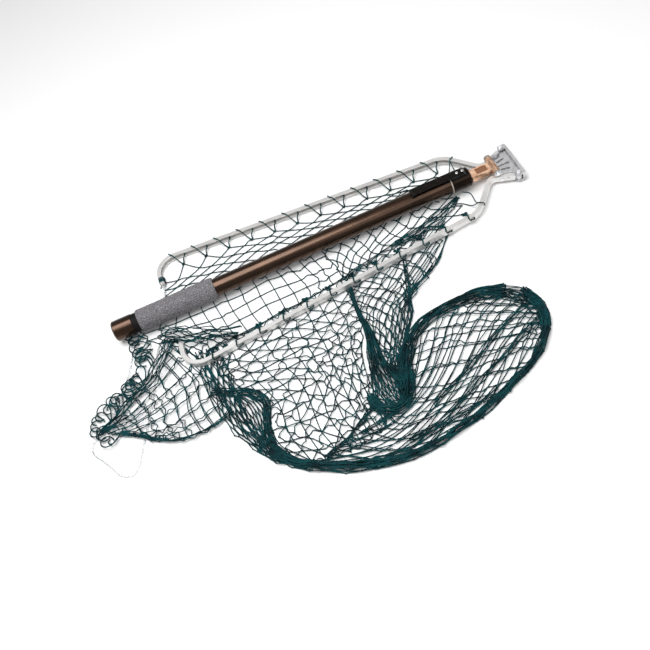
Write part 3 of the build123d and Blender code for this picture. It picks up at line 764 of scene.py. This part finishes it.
def build_bag():
    """The front of the bag, from the right arm to the fold, with the gathers that bound it."""
    bundle = Bundle()
    front = patch(
        [(116, -84), (166, -80), (214, -74), (262, -69), (312, -64)],
        [(118, -122), (170, -119), (220, -115), (266, -112), (312, -108)],
        [(134, -160), (184, -160), (229, -157), (270, -155), (306, -150)],
        [(158, -205), (196, -205), (234, -203), (268, -200), (294, -195)],
        [(158, -250), (196, -256), (234, -256), (266, -252), (288, -246)],
        [(170, -290), (206, -306), (242, -308), (272, -302), (294, -292)],
    )
    uneven = dict(wander=0.005, wander_scale=0.06, wave=1.4)
    lay_netting(bundle, front, square_meshes(9, 12), seed=21, **uneven)
    loose = dict(wander=0.009, wander_scale=0.08, loft=0.003)
    lay_netting(bundle, front, diamond_meshes(7, 20), seed=23, base=0.001, wave=1.3, **loose)
    beside_fold = patch(
        [(314, -62), (350, -58), (390, -54), (430, -48), (472, -42)],
        [(314, -95), (350, -90), (385, -85), (420, -80), (456, -72)],
        [(314, -130), (342, -124), (368, -120), (395, -116), (420, -110)],
        [(315, -165), (333, -160), (350, -155), (364, -150), (380, -140)],
        [(316, -205), (326, -203), (336, -200), (346, -196), (358, -186)],
        [(317, -235), (322, -235), (327, -234), (332, -232), (338, -228)],
    )
    lay_netting(bundle, beside_fold, diamond_meshes(7, 16), seed=27, wander=0.004)
    loose = dict(wander=0.008, wander_scale=0.07, loft=0.003)
    lay_netting(bundle, beside_fold, diamond_meshes(5, 18), seed=29, base=0.0012, **loose)
    edge = [(470, -60), (440, -96), (412, -116), (385, -128), (374, -158), (354, -190), (332, -226)]
    gather(bundle, edge, [2, 2, 2, 2.5, 2, 2, 3], 4, seed=31, dome=0.001)
    crease = [(398, -66), (392, -98), (382, -130), (372, -158)]
    gather(bundle, crease, [2, 2.5, 3, 2], 5, seed=33, dome=0.002)
    # The fold: netting pulled into a rope that opens into a dense bunch
    fold = [(317, -74), (314, -110), (313, -150), (309, -190), (305, -225), (305, -258), (310, -282)]
    gather(bundle, fold, [1.5, 2, 4, 8, 14, 22, 13], 20, seed=35, dome=0.009)
    gather(bundle, fold, [1, 1.5, 3, 6, 10, 17, 10], 13, seed=37, dome=0.011, base=0.001)
    # Rounded foot of the fold, and the turn up to the lobe
    foot = [(281, -250), (284, -272), (300, -283), (318, -279), (330, -258), (336, -240)]
    gather(bundle, foot, [4, 6, 7, 8, 9, 8], 16, seed=39, dome=0.009)
    # Gathered strip from the arm's tip down the left side
    strip = [(118, -84), (113, -124), (116, -165), (121, -202), (133, -240), (150, -276), (182, -305)]
    gather(bundle, strip, [22, 19, 17, 14, 11, 7, 4], 11, seed=41, dome=0.003, wander=0.006)
    gather(bundle, strip, [20, 17, 15, 12, 9, 6, 3], 7, seed=43, dome=0.004, wander=0.008)
    roll = [(104, -148), (126, -163), (148, -174), (161, -197)]
    roll += [(155, -222), (148, -250), (156, -281), (186, -307)]
    gather(bundle, roll, [4, 6, 5, 5, 5, 6, 6, 4], 12, seed=45, dome=0.006)
    # Strands that fill the hollow of the roll
    hollow = [(128, -172), (138, -190), (141, -215), (141, -245), (150, -280)]
    gather(bundle, hollow, [4, 13, 14, 10, 6], 13, seed=49, dome=0.003, wander=0.004)
    ridge = [(205, -302), (235, -290), (262, -276), (290, -262)]
    gather(bundle, ridge, [1.5, 2, 2.5, 4], 5, seed=47, dome=0.003)
    return bundle.piece("bag_netting", "twine")


def build_lobe():
    """The closed end of the bag, a ring of gathered twine round long flat diamonds."""
    bundle = Bundle()
    inside = patch(
        [(322, -262), (352, -214), (395, -188), (440, -182), (485, -190), (512, -208)],
        [(290, -288), (345, -258), (395, -226), (440, -212), (485, -212), (516, -225)],
        [(240, -290), (310, -298), (375, -275), (435, -250), (485, -238), (518, -240)],
        [(205, -298), (285, -322), (365, -306), (430, -283), (480, -263), (512, -256)],
        [(178, -300), (262, -342), (350, -343), (420, -325), (475, -300), (505, -274)],
    )
    loose = dict(wander=0.009, wander_scale=0.08, loft=0.003)
    for seed, lattice, lift in ((51, diamond_meshes(9, 19), 0.0), (53, diamond_meshes(7, 13), 0.0016)):
        lay_netting(bundle, inside, lattice, seed=seed, base=lift, **loose)
    rim = [(150, -262), (166, -290), (205, -318), (250, -338), (300, -346), (350, -342)]
    rim += [(405, -327), (455, -307), (490, -284), (512, -255), (517, -228), (508, -200)]
    widths = [6, 6, 7, 6.5, 5, 4, 4, 4, 4, 5, 6, 8]
    gather(bundle, rim, widths, 14, seed=61, dome=0.008)
    gather(bundle, rim, [0.7 * w for w in widths], 10, seed=63, dome=0.010, base=0.001)
    top = [(318, -262), (332, -238), (350, -208), (376, -186), (412, -177), (452, -177), (490, -188)]
    gather(bundle, top, [10, 9, 8, 7, 7, 8, 11], 16, seed=65, dome=0.010)
    gather(bundle, top, [7, 6, 5.5, 5, 5, 6, 8], 11, seed=67, dome=0.012, base=0.001)
    shoulder_bunch = [(470, -184), (495, -196), (508, -216), (512, -240), (504, -262)]
    gather(bundle, shoulder_bunch, [8, 10, 10, 8, 5], 9, seed=69, dome=0.008, wander=0.004)
    # Long folds that run across the lobe
    for seed, route in (
        (71, [(300, -330), (350, -318), (410, -290), (470, -262), (510, -246)]),
        (73, [(345, -300), (400, -270), (455, -240), (505, -222)]),
        (75, [(235, -328), (290, -336), (350, -326), (420, -312)]),
    ):
        gather(bundle, route, [1.5 + 0.8 * k for k in range(len(route))], 4, seed=seed, dome=0.004)
    return bundle.piece("lobe_netting", "twine")


def frayed_hooks(edge, count, seed):
    """Cut meshes that curl into open hooks along a free edge, as paths for strands."""
    generator = np.random.default_rng(seed)
    where = spline_weights(len(edge), np.linspace(0, 1, count)) @ edge
    hooks = []
    for place, tangent in zip(where, unit(np.gradient(where, axis=0))):
        outward = np.array([tangent[1], -tangent[0]])
        hand = generator.choice((-1, 1))
        heading = np.arctan2(outward[1], outward[0]) - hand * generator.uniform(0.2, 1.3)
        radius = generator.uniform(0.0045, 0.0100)
        turn = generator.uniform(1.1, 1.8) * pi
        tail = generator.uniform(0.006, 0.018)
        # Straight for its first eighth, then ever tighter until it keeps to one arc
        bend = np.cumsum(np.clip((np.linspace(0, 1, 36) - 0.12) / 0.45, 0, 1))
        angle = heading + hand * turn * bend / bend[-1]
        step = (tail + radius * turn) / len(angle)
        walk = np.cumsum(np.column_stack([np.cos(angle), np.sin(angle)]), axis=0) * step
        start = place - outward * (0.6 * radius + 0.5 * tail) + generator.normal(0, 0.003, 2)
        rise = generator.uniform(0.001, 0.006) * np.sin(np.linspace(0.1, pi, len(angle)))
        hooks.append(np.column_stack([start + walk, floor_z + 0.003 + rise]))
    return np.array(hooks)


def build_flap():
    """Loose netting off the right arm's tip, frayed along its free edge."""
    bundle = Bundle()
    spread = patch(
        [(-50, -134), (-12, -118), (28, -94), (58, -62), (76, -46)],
        [(-46, -140), (-6, -134), (36, -120), (73, -97), (94, -82)],
        [(-38, -148), (0, -150), (40, -145), (78, -130), (104, -120)],
        [(-24, -155), (8, -170), (42, -173), (80, -166), (109, -156)],
        [(-10, -160), (18, -184), (50, -198), (88, -199), (117, -190)],
    )
    uneven = dict(wander=0.006, wander_scale=0.05, wave=1.3)
    for seed, lift in ((81, 0.0026), (83, 0.0036)):
        lay_netting(bundle, spread, square_meshes(9, 7), seed=seed, base=lift, **uneven)
    # Netting bunched over the arm's tip and inside its corner
    tip_bunch = [(56, -32), (78, -44), (104, -56), (130, -69), (156, -81)]
    unruly = dict(wander=0.010, wander_scale=0.03, jitter=0.0015)
    over_arm = dict(base=0.0115, over=True, wave=1.0)
    gather(bundle, tip_bunch, [6, 9, 10, 9, 6], 8, seed=85, dome=0.003, **over_arm, **unruly)
    corner = patch(
        [(58, -34), (84, -46), (112, -56), (142, -68)],
        [(70, -52), (90, -64), (114, -74), (140, -82)],
        [(82, -84), (95, -96), (114, -101), (138, -99)],
    )
    lay_netting(bundle, corner, diamond_meshes(4, 6), seed=93, wander=0.004, wave=0.9)
    frayed = [(66, -38), (56, -62), (40, -84), (12, -104), (-18, -118), (-50, -132)]
    widths = [9, 11, 11, 8, 6, 6]
    gather(bundle, frayed, widths, 8, seed=87, dome=0.005, base=0.003, wave=1.2, **unruly)
    hem = [(-30, -150), (-6, -166), (18, -184), (50, -198), (88, -198), (116, -188)]
    gather(bundle, hem, [2.5, 2, 2, 2, 2, 3], 4, seed=89, dome=0.001, base=0.0026)
    free_edge = [(22, -14), (27, -34), (26, -60), (8, -82)]
    free_edge += [(-6, -98), (-34, -110), (-50, -126), (-36, -156)]
    add_tubes(bundle, frayed_hooks(np.array(free_edge, float) * MM, 40, seed=91), twine * 1.3, 6)
    return bundle.piece("flap_netting", "twine")


mouth_left = build_mouth_left()
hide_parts("net_mouth")
mouth_right = build_mouth_right()
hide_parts("net_mouth")
bag = build_bag()
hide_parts("net_bag")
lobe = build_lobe()
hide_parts("net_lobe")
flap = build_flap()
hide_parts("net_flap")

for piece in (bag, lobe, flap):
    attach(piece, "right_arm")


def build_tip_wraps():
    """Turns of twine that stop the netting from sliding off the left arm's end."""
    bundle = Bundle()
    middle = head_point(*tip_end, arm_level)
    turns = 5
    turn = np.linspace(0, 2 * pi * turns, 22 * turns)
    off_arm = 1.3 * twine
    # A rounded rectangle that leans a little from turn to turn
    across = (arm_depth / 2 + off_arm) * np.sign(np.cos(turn)) * np.abs(np.cos(turn)) ** 0.5
    up = (arm_height / 2 + off_arm) * np.sign(np.sin(turn)) * np.abs(np.sin(turn)) ** 0.5
    along = np.linspace(0.0035, 0.0125, len(turn)) + 0.0008 * np.sin(turn * 0.8)
    coil = np.column_stack([middle.x + across, middle.y + along, middle.z + up])
    add_tubes(bundle, coil[None], twine, 6)
    tails = []
    for lean, reach in ((-0.4, 0.010), (0.5, 0.012)):
        start = coil[-1] if lean > 0 else coil[0]
        f = np.linspace(0, 1, 8)[:, None]
        end = np.array([reach * lean - 0.006, 0.006 * lean, floor_z + twine - start[2]])
        tails.append(start + f * end + np.sin(pi * f) * np.array([0.0, 0.0, 0.002]))
    add_tubes(bundle, np.array(tails), twine, 6)
    return bundle.piece("left_tip_wraps", "twine")


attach(build_tip_wraps(), "left_arm")


def lashing_loop(index, reach):
    """Places that one doubled tie goes through: its knot, over the arm, the web hole, its knot.

    It crosses the arm by reach metres nearer to the tip than the hole that it comes back through.
    """
    along = lashing_first + index * lashing_pitch
    # The strands' middles stand off the arm's faces
    side = arm_depth / 2 + 0.0011
    top = arm_height / 2 + 0.0009
    drop = knot_level - head_point(shoulder[0] + run.x * along, 0.0, arm_level).z
    corners = (
        (knot_forward + 0.0008, -knot_inset, drop),
        (0.50 * reach, -side - 0.0050, drop * 0.35),
        (0.72 * reach, -side, top),
        (0.87 * reach, 0.0, top + 0.0004),
        (reach, side - 0.0004, top),
        (0.97 * reach, side + 0.0006, top * 0.45),
        (0.84 * reach, side + 0.0004, 0.0004),
        (0.44 * reach, side, 0.0),
        (0.0, side, 0.0),
        (0.0, 0.0, 0.0),
        (0.0006, -side - 0.0012, 0.0),
        (0.0034, -side - 0.0055, drop * 0.45),
        (knot_forward - 0.0008, -knot_inset, drop),
    )
    points = []
    for forward, outward, up in corners:
        u = shoulder[0] + run.x * (along + forward) + run_outward.x * outward
        v = shoulder[1] + run.y * (along + forward) + run_outward.y * outward
        points.append(head_point(u, v, arm_level + up)[:])
    return np.array(points)


def build_lashings(name, side, reach):
    """Ties of doubled twine along one arm, each with its hitch at the netting's edge."""
    strand_radius = 0.00055
    half_gap = 0.00042
    bundle = Bundle()
    generator = np.random.default_rng(101)
    strands = []
    knots = []
    for index in range(lashing_count):
        corners = lashing_loop(index, reach)
        corners[3:-3] += generator.normal(0, 0.0002, corners[3:-3].shape)
        smooth = spline_weights(len(corners), np.linspace(0, 1, 60)) @ corners
        smooth[:, 1] *= side
        apart = unit(np.gradient(smooth, axis=0))[:, [1, 0, 2]] * np.array([-1.0, 1.0, 0.0])
        for lean in (-1, 1):
            strands.append(smooth + apart * half_gap * lean)
        knots.append(smooth[0])
    add_tubes(bundle, np.array(strands), strand_radius, 6)
    add_knots(bundle, np.array(knots), 0.0018, generator)
    return bundle.piece(name, "twine")


for word, side, reach in (("left", 1, 0.0225), ("right", -1, 0.0080)):
    ties = build_lashings(word + "_ties", side, reach)
    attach(ties, word + "_arm")
    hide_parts(word + "_lashings")


# Each half of the mouth has its transform baked into its mesh, in the part's frame
for piece, body, side in ((mouth_left, "left_arm", 1), (mouth_right, "right_arm", -1)):
    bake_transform(piece)


# ------------------------------ front cord
def on_floor(*places):
    """Places in millimetres, at the height of a cord that lies on the floor."""
    return [(x, y, cord_level / MM) for x, y in places]


left_route = [(80.72, 56.54, -13.30), (78, 39, -15.2)]
left_route += on_floor((66, 19), (46, 2), (23, -17), (8, -42), (-0.5, -68.3))
right_route = [(80.72, -56.54, -13.30), (78, -40, -15.4)]
# Down past the flap, round the far loop, and back under the flap to the middle knot
right_route += on_floor((65, -31), (51, -37), (43, -54), (38, -77), (30, -102), (21, -128), (8, -156))
right_route += on_floor((-4, -184), (-13, -206), (-25, -218), (-39, -213), (-48, -195), (-59, -177))
right_route += on_floor((-70, -162), (-66, -147), (-50, -133), (-31, -116), (-15, -98), (-3.8, -75.8))


def nurbs_line(name, route):
    """The route as an open smooth curve, and the points along it."""
    curve = bpy.data.curves.new(name, "CURVE")
    curve.dimensions = "3D"
    curve.resolution_u = 12
    spline = curve.splines.new("NURBS")
    spline.points.add(len(route) - 1)
    for point, place in zip(spline.points, route):
        point.co = (place[0] * MM, place[1] * MM, place[2] * MM, 1.0)
    spline.order_u = 3
    spline.use_endpoint_u = True
    holder = bpy.data.objects.new(name, curve)
    bpy.context.scene.collection.objects.link(holder)
    bpy.context.view_layer.update()
    drawn = bpy.data.meshes.new_from_object(holder)
    points = np.array([v.co[:] for v in drawn.vertices])
    bpy.data.objects.remove(holder)
    return points


def build_cord(name, route):
    """One half of the clear front cord, a tube along its smooth line."""
    points = nurbs_line(name + "_line", route)
    bundle = Bundle()
    add_tubes(bundle, points[None], cord_radius, 10)
    return bundle.piece(name, "clear_line"), points


left_cord, left_points = build_cord("left_front_cord", left_route)
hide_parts("left_cord")
right_cord, right_points = build_cord("right_front_cord", right_route)
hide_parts("right_cord")
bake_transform(left_cord)
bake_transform(right_cord)


# ------------------------------ grip
def build_grip():
    """Rubber sleeve with a pebbled skin, turned round the handle and rolled over at its ends."""
    low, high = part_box("grip_sleeve")
    radius = high.z
    bore = 0.01275
    rim = 0.0014
    around = 260
    along = 300
    profile = [(low.x, bore), (low.x, radius - rim)]
    for k in range(1, 6):
        a = k * pi / 10
        profile.append((low.x + rim * (1 - cos(a)), radius - rim + rim * sin(a)))
    for k in range(1, along):
        x = low.x + rim + (high.x - low.x - 2 * rim) * k / along
        profile.append((x, radius))
    for k in range(5, -1, -1):
        a = k * pi / 10
        profile.append((high.x - rim * (1 - cos(a)), radius - rim + rim * sin(a)))
    profile.append((high.x, bore))
    angle = np.arange(around) * 2 * pi / around
    pebble = 0.0030
    groove_slope = 2.2
    relief = 0.00075
    swell_size = 0.009
    swell_share = 0.45
    points = np.empty((len(profile), around, 3))
    for i, (x, r) in enumerate(profile):
        skin = r > radius - rim * 0.6
        for j, a in enumerate(angle):
            depth = 0.0
            if skin:
                where = Vector((x, radius * cos(a), radius * sin(a)))
                near = noise.voronoi(where / pebble)[0]
                top = min(1.0, (near[1] - near[0]) * groove_slope)
                swell = noise.noise(where / swell_size)
                depth = relief * (1 - top) + relief * swell_share * (0.5 - 0.5 * swell)
            points[i, j] = (x, (r - depth) * cos(a), (r - depth) * sin(a))
    here = np.arange(len(profile) * around).reshape(len(profile), around)
    there = np.roll(here, -1, axis=1)
    # The last face of each slice closes the bore
    corners = [here, np.roll(here, -1, axis=0), np.roll(there, -1, axis=0), there]
    quads = np.stack(corners, axis=-1).reshape(-1, 4)
    bundle = Bundle()
    bundle.add(points.reshape(-1, 3), quads, np.zeros((len(quads), 4, 2)))
    return bundle.piece("pebbled_grip", "grip_rubber")


grip = build_grip()
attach(grip, "handle")
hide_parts("grip_sleeve")


# ------------------------------ floor and light
def make_stage():
    """A white floor that the light washes out, with soft shadows on it."""
    side_length = 12.0
    clearance = 0.0002
    bpy.ops.mesh.primitive_plane_add(size=side_length, location=(0.26, 0.0, floor_z - clearance))
    floor = bpy.context.object
    floor.name = "floor"
    shader = new_finish("floor_paper", (0.92, 0.92, 0.92), 0.85)[1]
    shader.inputs["Specular IOR Level"].default_value = 0.1
    floor.data.materials.append(finishes["floor_paper"])
    world = bpy.data.worlds.new("studio")
    bpy.context.scene.world = world
    world.use_nodes = True
    background = world.node_tree.nodes["Background"]
    background.inputs["Color"].default_value = (1.0, 1.0, 1.0, 1.0)
    background.inputs["Strength"].default_value = 0.38


def area_light(name, place, aim, width, height, power):
    """A rectangular soft light that looks at a point."""
    data = bpy.data.lights.new(name, "AREA")
    data.shape = "RECTANGLE"
    data.size = width
    data.size_y = height
    data.energy = power
    lamp = bpy.data.objects.new(name, data)
    bpy.context.scene.collection.objects.link(lamp)
    lamp.location = place
    lamp.rotation_mode = "QUATERNION"
    lamp.rotation_quaternion = (Vector(aim) - Vector(place)).to_track_quat("-Z", "Y")


make_stage()
bpy.context.scene.view_settings.view_transform = "Standard"
area_light("overhead", (0.02, -0.18, 1.5), (0.27, -0.1, 0.0), 1.3, 0.8, 25.0)
area_light("fill", (0.9, -1.2, 1.2), (0.27, -0.1, 0.0), 1.0, 1.0, 5.0)
area_light("behind_head", (0.93, 0.90, 1.0), (0.57, 0.0, 0.0), 0.35, 0.35, 0.3)
